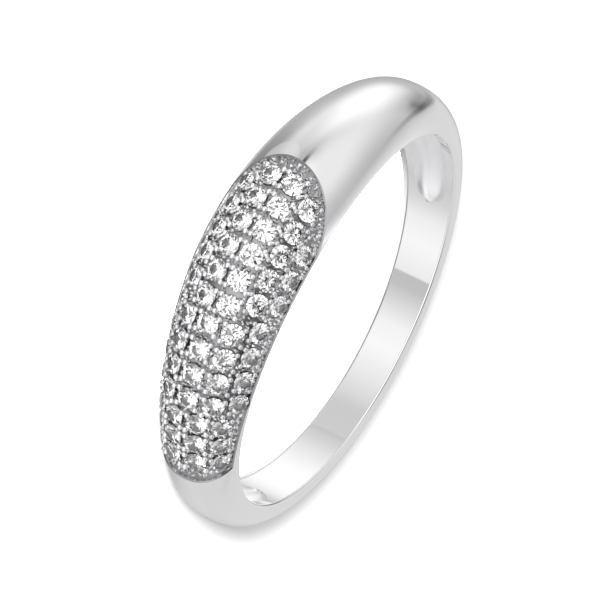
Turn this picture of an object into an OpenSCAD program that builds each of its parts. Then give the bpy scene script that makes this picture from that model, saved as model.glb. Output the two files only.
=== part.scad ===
// Dome ring that tapers towards the back, with round stones pavé-set over one half of its head.
// It lies on its side, as it would rest on a table: Z is up, and the head points along -Y.
// Angles round the ring start at the head's centre and grow towards the stones' side, +X.

/* [Band] */
// Radius of the finger hole, mm
finger_r = 8.65; // [8:0.05:10]
// Band width at the head, mm
width_head = 5.14; // [4.8:0.02:5.4]
// Band width at the sides, mm
width_side = 3.04; // [2.9:0.02:3.3]
// Band width at the back, mm
width_back = 1.86; // [1.6:0.02:2.2]
// Metal height over the finger hole at the head, mm
rise_head = 2.02; // [1.8:0.02:2.3]
// Metal height at the sides, mm
rise_side = 1.50; // [1.4:0.02:1.7]
// Metal height at the back, mm
rise_back = 0.97; // [0.8:0.01:1.2]
// How far the head's rounded section is centred below the finger surface, mm
section_sink = 0.72; // [0.5:0.02:0.9]
// Roundness of the head's section, where 2 is an ellipse
round_head = 1.85; // [1.7:0.05:2.2]
// Squareness of the back's section
round_back = 4.1; // [3:0.1:5]

/* [Hollow under the head] */
// Angle that the hollow reaches on each side of the head, degrees
hollow_reach = 123.5; // [100:0.5:126]
// Width of the land beside each rim at the hollow's ends, which doubles towards the head, mm
hollow_land = 0.37; // [0.35:0.01:0.5]
// Depth of the hollow as a share of the metal's height
hollow_share = 0.40; // [0.3:0.01:0.42]

/* [Stone field] */
// Angle of the arched end of the field, degrees
field_start = -16.5; // [-20:0.5:-14]
// Angle of the other end, measured at its corners, degrees
field_end = 69.5; // [69:0.5:74]
// Depth of the recess that the stones sit in, mm
field_depth = 0.20; // [0.14:0.01:0.24]
// Polished border left beside each rim, mm
border = 0.17; // [0.14:0.01:0.2]
// Diameter of the main stones, mm
stone_d = 1.0; // [0.9:0.01:1.0]

/* [Hidden] */

// The stones' rows, which run round the ring in pairs at equal distances from the crest.
// Each row: distance from the crest in mm, first stone's angle, angle step, stones, share of stone_d
ROWS = [
  [0.60, -10.6, 6.42, 6, 1.00],
  [1.80, -7.6, 6.62, 5, 1.00],
  [2.77, 2.5, 7.30, 3, 0.92],
  [0.00, 27.2, 6.50, 4, 1.00],
  [1.24, 27.6, 6.60, 4, 1.00],
  [2.41, 25.4, 7.00, 4, 0.96],
  [0.60, 53.1, 6.20, 3, 1.00],
  [1.76, 53.6, 6.30, 3, 0.93]
];

half_width = [width_head / 2, width_side / 2, width_back / 2];
rise = [rise_head, rise_side, rise_back];

ANGLE_STEP = 5;       // degrees between the band's sections
ACROSS = 18;          // panels over the dome
SAMPLES = 36;         // steps in which a section's length is measured
SEAT_GAP = 0.03;      // clearance round each stone
GIRDLE_DROP = 0.13;   // how far a girdle lies under the dome's surface
SEAT_SIDES = 32;

// A size round the ring from its values at the head, the sides and the back
function round_ring(v, f) = let (m = (v[0] + v[2]) / 2)
  (m + v[1]) / 2 + (v[0] - v[2]) / 2 * cos(f) + (m - v[1]) / 2 * cos(2 * f);

// Radius and height of the dome at angle f; u runs from 0 at the upper rim to 1 at the lower one
function dome_rz(f, u) = let (
    k = (1 - cos(f)) / 2,
    sink = section_sink * (1 - k),
    n = round_head + (round_back - round_head) * pow(k, 1.5),
    b = round_ring(rise, f) + sink,
    a = round_ring(half_width, f) / pow(1 - pow(sink / b, n), 1 / n),
    t0 = asin(pow(sink / b, n / 2)),
    t = t0 + (180 - 2 * t0) * u,
    c = cos(t))
  [finger_r - sink + b * pow(sin(t), 2 / n), a * sign(c) * pow(abs(c), 2 / n)];

// A point in ring axes from an angle, a radius and a height
function ring_pt(f, rz) = [rz[0] * sin(f), -rz[0] * cos(f), rz[1]];
function dome_pt(f, u) = ring_pt(f, dome_rz(f, u));

// Distance over the dome from the upper rim against u, as a list of [distance, u]
function dome_lengths(f) = let (p = [for (i = [0 : SAMPLES]) dome_rz(f, i / SAMPLES)])
  [for (i = 0, s = 0; i <= SAMPLES;
        i = i + 1, s = s + (i > SAMPLES ? 0 : norm(p[i] - p[i - 1]))) [s, i / SAMPLES]];
function half_length(f) = dome_lengths(f)[SAMPLES][0] / 2;

// u at a distance d from the crest, positive towards the upper rim
function u_at(f, d) = let (l = dome_lengths(f)) lookup(l[SAMPLES][0] / 2 - d, l);

// Outward normal of the dome
function unit(v) = v / norm(v);
function dome_normal(f, u) =
  unit(cross(dome_pt(f, u + 0.01) - dome_pt(f, u - 0.01), dome_pt(f + 1, u) - dome_pt(f - 1, u)));

// Rows of points joined to a closed solid: each row is a loop of an even number of points, and the
// first and last rows are capped by strips across them, unless the rows themselves close up
function loop_faces(rows, cols, closed) = concat(
  [for (i = [0 : rows - (closed ? 1 : 2)], j = [0 : cols - 1]) let (
      a = i * cols, b = (i + 1) % rows * cols, k = (j + 1) % cols)
    [a + j, a + k, b + k, b + j]],
  closed ? [] : [for (j = [0 : cols / 2 - 2], end = [0, 1]) let (
      s = [j, j + 1, cols - 2 - j, cols - 1 - j])
    end == 0 ? [s[3], s[2], s[1], s[0]] : [for (k = s) (rows - 1) * cols + k]]);

module loops(rows, closed = false) {
  polyhedron([for (r = rows) each r], loop_faces(len(rows), len(rows[0]), closed), convexity = 8);
}

// The dome, closed inside the finger hole's wall so that the hole can be bored. The flat sides start
// inside that wall too, and the bore cuts the rims on them
module dome_blank() {
  loops([for (f = [0 : ANGLE_STEP : 359]) let (w = round_ring(half_width, f)) concat(
      [for (j = [ACROSS - 1 : -1 : 1]) dome_pt(f, j / ACROSS)],
      [ring_pt(f, [finger_r - 1, w]), ring_pt(f, [finger_r - 1, -w])])], closed = true);
}

// The hollow under the head: its opening has a round end on each side, and its floor runs out there
module head_hollow() {
  n = 9;
  ends = [for (a = [0.05, 0.7, 2, 4, 7, 11]) hollow_reach - a];
  angles = concat([for (a = ends) -a],
    [for (i = [-9 : 9]) i / 9 * (hollow_reach - 16)], [for (i = [5 : -1 : 0]) ends[i]]);
  loops([for (f = angles) let (
      w = (round_ring(half_width, f) - hollow_land * (1 + pow(cos(f / 2), 4))) * hollow_end(f, 6),
      h = hollow_share * round_ring(rise, f) * hollow_end(f, 15) + 0.4)
    [for (j = [n : -1 : 0]) let (t = j * 180 / n, c = cos(t))
      ring_pt(f, [finger_r - 0.4 + h * pow(sin(t), 0.8), w * sign(c) * pow(abs(c), 0.5)])]]);
}

// 1 along the hollow, falling to 0 at its ends as a quarter ellipse does over the last degrees
function hollow_end(f, run) = let (s = max(0, (abs(f) - hollow_reach + run) / run)) sqrt(max(0, 1 - s * s));

// Half of the stone field's width over the dome at angle f
arch = 19.5;
function field_half(f) = (half_length(f) - border - 0.36 * pow(max(0, f - 25) / 45, 2))
  * (f < field_start + arch ? sqrt(max(0, 1 - pow((field_start + arch - f) / arch, 2))) : 1);

// The recess: a slab that follows the dome, from field_depth under it to well above it
module field_recess() {
  bulge = 3;
  angles = concat(
    [for (i = [1 : 6]) field_start + arch * (1 - cos(i * 15))],
    [for (i = [1 : 13]) field_start + arch + (field_end - field_start - arch) * i / 13]);
  n = 14;
  loops([for (f = angles) let (half = field_half(f), grown = pow(max(0, f) / field_end, 8) * bulge)
    concat(
      [for (j = [0 : n]) let (d = (1 - 2 * j / n), g = f + grown * (1 - d * d), u = u_at(g, half * d))
        dome_pt(g, u) - field_depth * dome_normal(g, u)],
      [for (j = [n : -1 : 0]) let (d = (1 - 2 * j / n), g = f + grown * (1 - d * d), u = u_at(g, half * d))
        dome_pt(g, u) + 0.6 * dome_normal(g, u)])]);
}

// Places a child on the dome at angle f and distance d from the crest: Z is the outward normal,
// X runs round the ring
module on_dome(f, d) {
  u = u_at(f, d);
  p = dome_pt(f, u);
  z = dome_normal(f, u);
  x = unit([cos(f), sin(f), 0] - ([cos(f), sin(f), 0] * z) * z);
  y = cross(z, x);
  multmatrix([[x[0], y[0], z[0], p[0]], [x[1], y[1], z[1], p[1]], [x[2], y[2], z[2], p[2]]]) children();
}

// Every stone as [angle, distance from the crest, diameter]
stones = [for (r = ROWS, i = [0 : r[3] - 1], side = r[0] == 0 ? [1] : [1, -1])
  [r[1] + i * r[2], side * r[0], stone_d * r[4]]];

module each_stone() {
  for (s = stones) {
    $d = s[2];
    on_dome(s[0], s[1]) children();
  }
}

// A seat: a bearing for the pavilion with a drilled hole under it, open above the girdle
module seat() {
  r = $d / 2 + SEAT_GAP;
  translate([0, 0, -GIRDLE_DROP]) rotate_extrude($fn = SEAT_SIDES)
    polygon([[0, -0.5 * $d], [0.22 * $d, -0.5 * $d], [0.22 * $d, -0.30 * $d], [r, -0.04], [r, 0.6], [0, 0.6]]);
}

// A round brilliant: a table, crown facets, a thin girdle and a pavilion
module brilliant() {
  n = 8;
  g = $d / 2;
  pts = concat(
    [for (i = [0 : n - 1]) [0.55 * g * cos(i * 45), 0.55 * g * sin(i * 45), 0.145 * $d]],
    [for (h = [0.015, -0.015], i = [0 : 2 * n - 1]) [g * cos(i * 22.5), g * sin(i * 22.5), h * $d]],
    [[0, 0, -0.43 * $d]]);
  up = n;
  low = 3 * n;
  tip = 5 * n;
  faces = concat(
    [[for (i = [n - 1 : -1 : 0]) i]],
    [for (i = [0 : n - 1]) [i, (i + 1) % n, up + 2 * i + 1]],
    [for (i = [0 : n - 1], s = [0, 1]) [i, up + (2 * i + s) % (2 * n), up + (2 * i + s + 2 * n - 1) % (2 * n)]],
    [for (i = [0 : 2 * n - 1]) let (k = (i + 1) % (2 * n)) [up + i, up + k, low + k, low + i]],
    [for (i = [0 : 2 * n - 1]) [low + i, low + (i + 1) % (2 * n), tip]]);
  translate([0, 0, -GIRDLE_DROP]) polyhedron(pts, faces);
}

// The lowest point of the section at angle f when the ring is tilted by t about X
function low_at(f, t) = min([for (j = [0 : ACROSS]) let (p = dome_pt(f, j / ACROSS)) p[1] * sin(t) + p[2] * cos(t)]);

// The tilt at which the head and the back touch the table together
function level(lo, hi, n) = let (t = (lo + hi) / 2)
  n == 0 ? t : low_at(0, t) < low_at(180, t) ? level(lo, t, n - 1) : level(t, hi, n - 1);
rest_tilt = level(-9, 0, 24);
rest_y = [for (f = [0, 180], j = [0 : ACROSS]) let (p = dome_pt(f, j / ACROSS)) p[1] * cos(rest_tilt) - p[2] * sin(rest_tilt)];
rest_shift = [0, -(min(rest_y) + max(rest_y)) / 2, -low_at(0, rest_tilt)];

module at_rest() {
  translate(rest_shift) rotate([rest_tilt, 0, 0]) children();
}

module ring_band() {
  color([0.86, 0.86, 0.88]) at_rest() difference() {
    dome_blank();
    head_hollow();
    field_recess();
    each_stone() seat();
    // turned so that the bore's seam falls between two sections at the back
    rotate([0, 0, 90 + ANGLE_STEP / 2])
      cylinder(r = finger_r, h = 4 * width_head, center = true, $fn = 144);
  }
}

module pave_stones() {
  color([0.80, 0.90, 0.98]) at_rest() each_stone() brilliant();
}

ring_band();
pave_stones();
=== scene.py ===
"""Looks of the dome ring: a polished white-metal band with a field of small cut stones.

The ring is modelled in its own axes and in millimetres, with Z along the finger hole, the head
towards -Y and angles round the ring growing from the head towards +X. Each finished piece is then
tipped onto its side and brought to metres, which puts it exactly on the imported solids.
"""
import logging
import math
from collections.abc import Iterator
from contextlib import contextmanager
from dataclasses import dataclass
from enum import Enum
from itertools import product

import bmesh
import bpy
import numpy as np
from mathutils import Matrix, Vector


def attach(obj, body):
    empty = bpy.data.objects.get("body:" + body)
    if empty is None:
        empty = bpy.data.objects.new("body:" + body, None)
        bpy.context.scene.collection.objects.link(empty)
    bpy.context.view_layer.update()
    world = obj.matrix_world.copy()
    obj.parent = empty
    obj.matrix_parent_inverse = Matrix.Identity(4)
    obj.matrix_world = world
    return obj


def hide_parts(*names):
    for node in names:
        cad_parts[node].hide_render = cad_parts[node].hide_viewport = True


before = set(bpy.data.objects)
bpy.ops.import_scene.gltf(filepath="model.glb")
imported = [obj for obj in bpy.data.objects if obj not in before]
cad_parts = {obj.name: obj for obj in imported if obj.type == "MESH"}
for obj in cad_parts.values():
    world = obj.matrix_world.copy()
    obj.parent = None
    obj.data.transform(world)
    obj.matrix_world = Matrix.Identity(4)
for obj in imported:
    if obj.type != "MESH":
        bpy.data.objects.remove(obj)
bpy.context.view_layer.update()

LOG = logging.getLogger("ring")

Array = np.ndarray
Piece = bpy.types.Object
Socket = bpy.types.NodeSocket
Stops = tuple[tuple[float, float], ...]


# ---- sizes and shape rules


@dataclass(frozen=True)
class Resting:
    """How the ring lies on the table: tipped about X until head and back both touch it."""

    tilt_deg: float = -5.311994
    shift_y: float = 0.508264
    shift_z: float = 1.758154
    metres: float = 0.001

    def turn(self) -> Matrix:
        """Return the rotation from ring axes to the table's axes."""
        return Matrix.Rotation(math.radians(self.tilt_deg), 4, "X")

    def matrix(self) -> Matrix:
        """Return the whole step from ring millimetres to table metres."""
        lift = Matrix.Translation((0.0, self.shift_y, self.shift_z))
        return Matrix.Scale(self.metres, 4) @ lift @ self.turn()


@dataclass(frozen=True)
class DomeForm:
    """The band's outer form: a rounded section that narrows and flattens towards the back."""

    finger_r: float = 8.65
    half_width: tuple[float, float, float] = (2.57, 1.52, 0.93)
    rise: tuple[float, float, float] = (2.02, 1.50, 0.97)
    sink: float = 0.72
    round_head: float = 1.85
    round_back: float = 4.1
    # small step for slopes, mm, and points over one section for measuring along it
    step: float = 1e-4
    gauge_points: int = 241

    @staticmethod
    def round_ring(v: tuple[float, float, float], f: Array) -> Array:
        """Blend a size round the ring.

        Args:
            v: The size at the head, the sides and the back.
            f: Angles in radians.

        Returns:
            The size at each angle.
        """
        m = (v[0] + v[2]) / 2
        return (m + v[1]) / 2 + (v[0] - v[2]) / 2 * np.cos(f) + (m - v[1]) / 2 * np.cos(2 * f)

    def section(self, f: Array) -> tuple[Array, Array, Array, Array]:
        """Return the section's sink, half height, half width and roundness at each angle f."""
        k = (1 - np.cos(f)) / 2
        sink = self.sink * (1 - k)
        n = self.round_head + (self.round_back - self.round_head) * k ** 1.5
        b = self.round_ring(self.rise, f) + sink
        a = self.round_ring(self.half_width, f) / (1 - (sink / b) ** n) ** (1 / n)
        return sink, b, a, n

    def radius_height(self, f: Array, u: Array) -> tuple[Array, Array]:
        """Return the dome's radius and height at angle f, with u from 0 (upper rim) to 1."""
        sink, b, a, n = self.section(f)
        start = np.arcsin((sink / b) ** (n / 2))
        t = start + (np.pi - 2 * start) * u
        c = np.cos(t)
        r = self.finger_r - sink + b * np.abs(np.sin(t)) ** (2 / n)
        return r, a * np.sign(c) * np.abs(c) ** (2 / n)

    def point(self, f: Array, u: Array) -> Array:
        """Return points on the dome in ring axes."""
        r, z = self.radius_height(f, u)
        return self.around(f, r, z)

    @staticmethod
    def around(f: Array, r: Array, z: Array) -> Array:
        """Return points from an angle, a radius and a height."""
        return np.stack([r * np.sin(f), -r * np.cos(f), z + 0 * r], axis=-1)

    def level(self, p: Array) -> Array:
        """Return 1 on the dome's surface, less inside it and more outside it."""
        f = np.arctan2(p[..., 0], -p[..., 1])
        sink, b, a, n = self.section(f)
        deep = np.maximum(np.hypot(p[..., 0], p[..., 1]) - self.finger_r + sink, 0.0)
        return (deep / b) ** n + (np.abs(p[..., 2]) / a) ** n

    def growth(self, p: Array) -> Array:
        """Return the change of level over a small step both ways along each axis."""
        steps = self.step * np.eye(3)
        return np.stack([self.level(p + h) - self.level(p - h) for h in steps], axis=-1)

    def normal(self, p: Array) -> Array:
        """Return the dome's outward normals at points on it."""
        g = self.growth(p)
        return g / np.maximum(np.linalg.norm(g, axis=-1, keepdims=True), 1e-12)

    def depth(self, p: Array) -> Array:
        """Return about how deep points lie under the dome, in mm."""
        g = self.growth(p) / (2 * self.step)
        return (1 - self.level(p)) / np.maximum(np.linalg.norm(g, axis=-1), 1e-9)

    def run(self, f: float) -> tuple[Array, Array]:
        """Return u from rim to rim at one angle, and the length over the dome up to each u."""
        u = np.linspace(0.0, 1.0, self.gauge_points)
        p = self.point(np.full_like(u, f), u)
        return u, np.concatenate([[0.0], np.cumsum(np.linalg.norm(np.diff(p, axis=0), axis=1))])

    def u_at(self, f: float, d: float | Array) -> Array:
        """Return u at distances d over the dome from its crest, positive to the upper rim."""
        u, run = self.run(f)
        return np.interp(run[-1] / 2 - np.asarray(d), run, u)

    def half_length(self, f: float) -> float:
        """Return half of the dome's length from rim to rim at one angle."""
        return float(self.run(f)[1][-1] / 2)

    def seat_frame(self, angle: float, d: float) -> Matrix:
        """Return the place of a stone: Z is the outward normal and X runs round the ring.

        Args:
            angle: Degrees round the ring.
            d: Distance from the crest in mm.
        """
        f = math.radians(angle)
        u = float(self.u_at(f, d))
        at = np.array([f])
        p = self.point(at, np.array([u]))[0]
        e = 0.01
        across = self.point(at, np.array([u + e]))[0] - self.point(at, np.array([u - e]))[0]
        along = self.point(at + e, np.array([u]))[0] - self.point(at - e, np.array([u]))[0]
        z = Vector(np.cross(across, along)).normalized()
        x = Vector((math.cos(f), math.sin(f), 0.0))
        x = (x - x.dot(z) * z).normalized()
        turn = Matrix((x, z.cross(x), z)).transposed().to_4x4()
        return Matrix.Translation(Vector(p)) @ turn


@dataclass(frozen=True)
class StoneRow:
    """A row of stones that runs round the ring, and its mirror on the other side of the crest."""

    off_crest: float
    first_deg: float
    step_deg: float
    count: int
    share: float = 1.0


@dataclass(frozen=True)
class FieldPlan:
    """The outline of the stone field and the rows of stones in it."""

    start_deg: float = -16.5
    arch_deg: float = 19.5
    end_deg: float = 69.5
    bulge_deg: float = 3.0
    depth: float = 0.20
    border: float = 0.17
    stone: float = 1.0
    girdle_drop: float = 0.13
    narrowing: float = 0.36
    narrow_from: float = 25.0
    narrow_run: float = 45.0
    bulge_power: int = 8
    rows: tuple[StoneRow, ...] = (
        StoneRow(0.60, -10.6, 6.42, 6),
        StoneRow(1.80, -7.6, 6.62, 5),
        StoneRow(2.77, 2.5, 7.30, 3, 0.92),
        StoneRow(0.00, 27.2, 6.50, 4),
        StoneRow(1.24, 27.6, 6.60, 4),
        StoneRow(2.41, 25.4, 7.00, 4, 0.96),
        StoneRow(0.60, 53.1, 6.20, 3),
        StoneRow(1.76, 53.6, 6.30, 3, 0.93),
    )

    def stones(self) -> list[tuple[float, float, float]]:
        """Return every stone as its angle, its distance from the crest and its diameter."""
        return [(row.first_deg + i * row.step_deg, side * row.off_crest, self.stone * row.share)
                for row in self.rows for i in range(row.count)
                for side in ((1,) if row.off_crest == 0 else (1, -1))]

    def half(self, form: DomeForm, angle: float) -> float:
        """Return half of the field's width over the dome at an angle in degrees."""
        half = form.half_length(math.radians(angle)) - self.border
        half -= self.narrowing * (max(0.0, angle - self.narrow_from) / self.narrow_run) ** 2
        if angle < self.start_deg + self.arch_deg:
            k = (self.start_deg + self.arch_deg - angle) / self.arch_deg
            half *= math.sqrt(max(0.0, 1 - k * k))
        return half

    def swell(self, angle: float, d: float) -> float:
        """Return the angle pushed outwards for the field's gently curved far end."""
        share = (max(0.0, angle) / self.end_deg) ** self.bulge_power
        return angle + share * self.bulge_deg * (1 - d * d)


# ---- the bench


class Bench:
    """Small hand tools that every piece is made with."""

    @staticmethod
    def clear() -> None:
        """Deselect everything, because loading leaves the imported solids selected."""
        if bpy.context.object and bpy.context.object.mode != "OBJECT":
            bpy.ops.object.mode_set(mode="OBJECT")
        bpy.ops.object.select_all(action="DESELECT")

    @classmethod
    def take(cls, *pieces: Piece) -> None:
        """Select pieces and make the first one active."""
        cls.clear()
        for piece in pieces:
            piece.select_set(True)
        bpy.context.view_layer.objects.active = pieces[0]

    @staticmethod
    @contextmanager
    def edit() -> Iterator[None]:
        """Work on the active piece in edit mode, at first with all of it selected."""
        bpy.ops.object.mode_set(mode="EDIT")
        bpy.ops.mesh.select_all(action="SELECT")
        yield
        bpy.ops.object.mode_set(mode="OBJECT")

    @staticmethod
    def unpick(piece: Piece) -> bmesh.types.BMesh:
        """Return a piece's mesh in edit mode, with nothing in it selected."""
        mesh = bmesh.from_edit_mesh(piece.data)
        for item in (*mesh.verts, *mesh.edges, *mesh.faces):
            item.select = False
        return mesh

    @classmethod
    def apply(cls, piece: Piece, kind: str, **settings: object) -> None:
        """Add one modifier, set it and apply it.

        Args:
            piece: The piece to change.
            kind: Blender's name for the modifier.
            settings: The modifier's values.
        """
        cls.take(piece)
        mod = piece.modifiers.new(kind.title(), kind)
        for name, value in settings.items():
            setattr(mod, name, value)
        bpy.ops.object.modifier_apply(modifier=mod.name)

    @classmethod
    def cut(cls, piece: Piece, tool: Piece) -> None:
        """Cut a tool's shape out of a piece and throw the tool away."""
        cls.apply(piece, "BOOLEAN", operation="DIFFERENCE", solver="MANIFOLD", object=tool)
        bpy.data.objects.remove(tool)

    @classmethod
    def copies(cls, master: Piece, places: list[Matrix]) -> Piece:
        """Copy a master to many places, each with its own mesh, and join them to one piece.

        Args:
            master: The object to copy, which is removed afterwards.
            places: The place of each copy.

        Returns:
            The joined piece, with its place in its mesh.
        """
        made = []
        for place in places:
            copy = master.copy()
            copy.data = master.data.copy()
            copy.data.transform(place @ master.matrix_world)
            copy.matrix_world = Matrix.Identity(4)
            bpy.context.scene.collection.objects.link(copy)
            made.append(copy)
        name = master.name
        bpy.data.objects.remove(master)
        cls.take(*made)
        bpy.ops.object.join()
        made[0].name = name
        return made[0]

    @staticmethod
    def loft(name: str, rows: list[Array]) -> Piece:
        """Make a closed cutting tool through loops of points, its ends closed by strips.

        Args:
            name: The tool's name.
            rows: Loops with the same even number of points.

        Returns:
            The tool.
        """
        count = len(rows[0])
        faces = [(i * count + j, i * count + (j + 1) % count,
                  (i + 1) * count + (j + 1) % count, (i + 1) * count + j)
                 for i in range(len(rows) - 1) for j in range(count)]
        last = (len(rows) - 1) * count
        for j in range(count // 2 - 1):
            strip = (j, j + 1, count - 2 - j, count - 1 - j)
            faces.append(tuple(reversed(strip)))
            faces.append(tuple(last + k for k in strip))
        mesh = bpy.data.meshes.new(name)
        mesh.from_pydata([tuple(p) for row in rows for p in row], [], faces)
        tool = bpy.data.objects.new(name, mesh)
        bpy.context.scene.collection.objects.link(tool)
        Bench.take(tool)
        with Bench.edit():
            bpy.ops.mesh.normals_make_consistent(inside=False)
        return tool

    @staticmethod
    def paint(piece: Piece, *finishes: "WhiteMetal | CutStone") -> None:
        """Give a piece one material for each finish."""
        piece.data.materials.clear()
        for finish in finishes:
            piece.data.materials.append(finish.make())

    @staticmethod
    def hand_in(piece: Piece, slot: str, *replaced: str) -> None:
        """Lay a finished piece on the table, hang it under the root and hide the solids that it stands for.

        Args:
            piece: The piece, in ring axes. Its place goes into its mesh.
            slot: Not used.
            replaced: The solids that it stands for.
        """
        piece.data.transform(Resting().matrix() @ piece.matrix_world)
        piece.matrix_world = Matrix.Identity(4)
        piece.data.update()
        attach(piece, "root")
        if replaced:
            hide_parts(*replaced)


# ---- finishes


class NodeBench:
    """Wires up one material's nodes. Spaces in the names of sockets are written as underscores."""

    def __init__(self, name: str, **inputs: object) -> None:
        """Start a material and set its Principled shader."""
        self.material = bpy.data.materials.new(name)
        self.material.use_nodes = True
        self.nodes = self.material.node_tree.nodes
        self.links = self.material.node_tree.links
        self.shader = self.fill(self.nodes["Principled BSDF"], inputs)

    @staticmethod
    def fill(node: bpy.types.Node, inputs: dict[str, object]) -> bpy.types.Node:
        """Set a node's sockets and return the node."""
        for name, value in inputs.items():
            node.inputs[name.replace("_", " ")].default_value = value
        return node

    def add(self, kind: str, **inputs: object) -> bpy.types.Node:
        """Add a node, set its sockets and return it."""
        return self.fill(self.nodes.new(kind), inputs)

    def wire(self, a: Socket, b: Socket) -> None:
        """Link an output to an input."""
        self.links.new(a, b)

    def cloud(self, scale: float, detail: float) -> Socket:
        """Add a cloud of noise that is fixed to the piece and return its output."""
        place = self.add("ShaderNodeTexCoord")
        noise = self.add("ShaderNodeTexNoise", Scale=scale, Detail=detail)
        self.wire(place.outputs["Object"], noise.inputs["Vector"])
        return noise.outputs["Fac"]


@dataclass(frozen=True)
class WhiteMetal:
    """White metal whose roughness, and relief if it has any, follow one cloud of grain."""

    name: str
    grey: float
    smooth: float
    rough: float
    grain: float
    relief: float
    detail: float
    relief_height: float = 0.00002

    def make(self) -> bpy.types.Material:
        """Return the material."""
        tone = (self.grey, self.grey, self.grey + 0.01, 1.0)
        b = NodeBench(self.name, Base_Color=tone, Metallic=1.0)
        cloud = b.cloud(self.grain, self.detail)
        spread = b.add("ShaderNodeMapRange", To_Min=self.smooth, To_Max=self.rough)
        b.wire(cloud, spread.inputs["Value"])
        b.wire(spread.outputs["Result"], b.shader.inputs["Roughness"])
        if self.relief:
            bump = b.add("ShaderNodeBump", Strength=self.relief, Distance=self.relief_height)
            b.wire(cloud, bump.inputs["Height"])
            b.wire(bump.outputs["Normal"], b.shader.inputs["Normal"])
        return b.material


@dataclass(frozen=True)
class PolishedMetal(WhiteMetal):
    """Bright polished white metal with the faintest buffing marks."""

    name: str = "polished_white_metal"
    grey: float = 0.78
    smooth: float = 0.02
    rough: float = 0.045
    grain: float = 420.0
    relief: float = 0.0
    detail: float = 2.0


@dataclass(frozen=True)
class SettingMetal(WhiteMetal):
    """The metal between the stones and round them, less bright than the polished band: partly its duller
    tone, partly painted shade for the narrow recess.
    """

    name: str = "setting_metal_and_recess_shade"
    # painted shade: this dark grey stands partly for the shade down in the narrow recess between stones and
    # grains, partly for the setting metal's duller tone
    grey: float = 0.32
    smooth: float = 0.14
    rough: float = 0.30
    grain: float = 5200.0
    relief: float = 0.12
    detail: float = 3.0


@dataclass(frozen=True)
class CutStone:
    """Colourless cubic zirconia: clear, hard and strongly refracting."""

    name: str = "clear_zirconia"
    ior: float = 2.16
    cloud: float = 900.0
    cool: tuple[float, float, float, float] = (0.97, 0.98, 1.0, 1.0)
    clear: tuple[float, float, float, float] = (1.0, 1.0, 1.0, 1.0)

    def make(self) -> bpy.types.Material:
        """Return the material."""
        b = NodeBench(self.name, Transmission_Weight=1.0, IOR=self.ior, Roughness=0.0)
        tint = b.add("ShaderNodeValToRGB")
        for element, colour in zip(tint.color_ramp.elements, (self.cool, self.clear)):
            element.color = colour
        b.wire(b.cloud(self.cloud, 1.0), tint.inputs["Fac"])
        b.wire(tint.outputs["Color"], b.shader.inputs["Base Color"])
        return b.material


# ---- the band


class Face(Enum):
    """What a face of the band belongs to."""

    POLISHED = 0
    SETTING = 1
    BRIGHT_CUT = 2
    SATIN = 3


# How far before each end of the hollow its last sections lie, in degrees
HOLLOW_ENDS = (14, 12, 10, 8.5, 7, 5.8, 4.8, 3.8, 3, 2.2, 1.5, 0.9, 0.4, 0.1)
# For telling the band's faces apart: cosines to a surface's normal, the angles that the field's cuts
# lie between, and distances in mm off the dome, the hole, the hollow, the floor and the seats
SAME_WAY, STEEP = 0.98, 0.6
FIELD_SPAN = (-20.0, 76.0)
SKIN, CUT_SKIN, BORE_SKIN, HOLLOW_SKIN = 0.01, 0.0005, 0.08, 0.06
FLOOR_SKIN, SEAT_SKIN, WALL_SKIN = 0.06, 0.02, 0.015


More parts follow.
